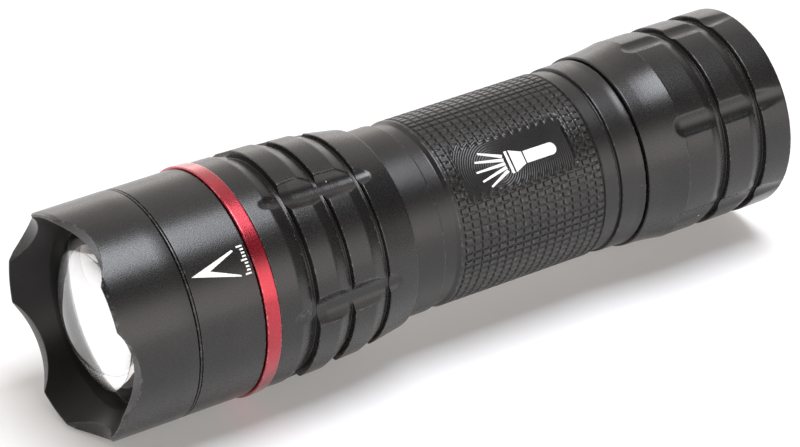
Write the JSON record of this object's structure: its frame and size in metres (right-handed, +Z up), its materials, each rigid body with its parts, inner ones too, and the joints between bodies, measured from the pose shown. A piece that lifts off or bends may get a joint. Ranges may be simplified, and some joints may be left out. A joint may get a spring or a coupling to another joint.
{
  "type": "tactical flashlight",
  "caption": "Handheld zoom flashlight: scalloped bezel, sliding focus head with red accent ring, ribbed collar, knurled battery tube and clicky tail cap.",
  "frame": {"origin": "centre of the underside of the bounding box, below the middle of the flashlight lying on its side", "axes": "+X along the axis from the lens to the tail button, +Z up, -Y towards the side with the milled flat"},
  "size_m": [0.1164, 0.0346, 0.0346],
  "materials": {
    "anodised_black": "satin black anodised",
    "anodised_red": "gloss red anodised",
    "ring_grey": "turned, bare",
    "plug_aluminium": "turned, bare",
    "lens_clear": "polished",
    "rubber_black": "matt",
    "spring_steel": "bright",
    "screw_steel": "plated",
    "board_white": "white solder mask",
    "emitter_yellow": "phosphor under a clear dome",
    "wire_red": "insulated wire",
    "board_green": "solder mask",
    "spring_gold": "gold plated",
    "plastic_black": "moulded",
    "contact_brass": "bright",
    "contact_nickel": "nickel plated",
    "cell_jacket": "printed sleeve",
    "plastic_ivory": "moulded"
  },
  "bodies": {
    "tube": {"body_tube": "anodised_black", "focus_o_rings": "rubber_black", "stop_circlip": "spring_steel", "seal_o_ring": "rubber_black", "led_pill": "plug_aluminium", "star_board": "board_white", "star_screws": "screw_steel", "led_emitter": "emitter_yellow", "led_leads": "wire_red", "driver_board": "board_green", "driver_spring": "spring_gold"},
    "head": {"strike_bezel": "anodised_black", "lens_gasket": "rubber_black", "lens": "lens_clear", "lens_retainer": "ring_grey", "head_sleeve": "anodised_black", "accent_ring": "anodised_red", "ribbed_collar": "anodised_black"},
    "battery_pack": {"battery_frame": "plastic_black", "front_contact": "contact_brass", "rear_contact": "contact_nickel", "contact_straps": "contact_nickel", "cell_springs": "spring_steel", "aaa_cells": "cell_jacket"},
    "tail": {"tail_cap": "anodised_black", "switch_ring": "ring_grey", "switch_board": "board_green", "tail_spring": "spring_gold", "switch_housing": "plastic_black", "switch_core": "plastic_ivory"},
    "button": {"plunger": "plastic_ivory", "button_boot": "rubber_black"}
  },
  "joints": [
    {"name": "focus_slide", "type": "slide", "parent": "tube", "child": "head", "axis": [-1, 0, 0], "range_m": [0, 0.008]},
    {"name": "pack_slide", "type": "slide", "parent": "tube", "child": "battery_pack", "axis": [1, 0, 0], "range_m": [0, 0.009]},
    {"name": "cap_unscrew", "type": "hinge", "parent": "battery_pack", "child": "tail", "pos_m": [0.03975, 0, 0.0173], "axis": [1, 0, 0], "range_deg": [0, 2160]},
    {"name": "button_press", "type": "slide", "parent": "tail", "child": "button", "axis": [-1, 0, 0], "range_m": [0, 0.0016], "stiffness_N_per_m": 1500, "springref_m": -0.0006}
  ],
  "couplings": [
    {"joint": "cap_unscrew", "follows": "pack_slide", "rad_per_m": 4188.8}
  ]
}
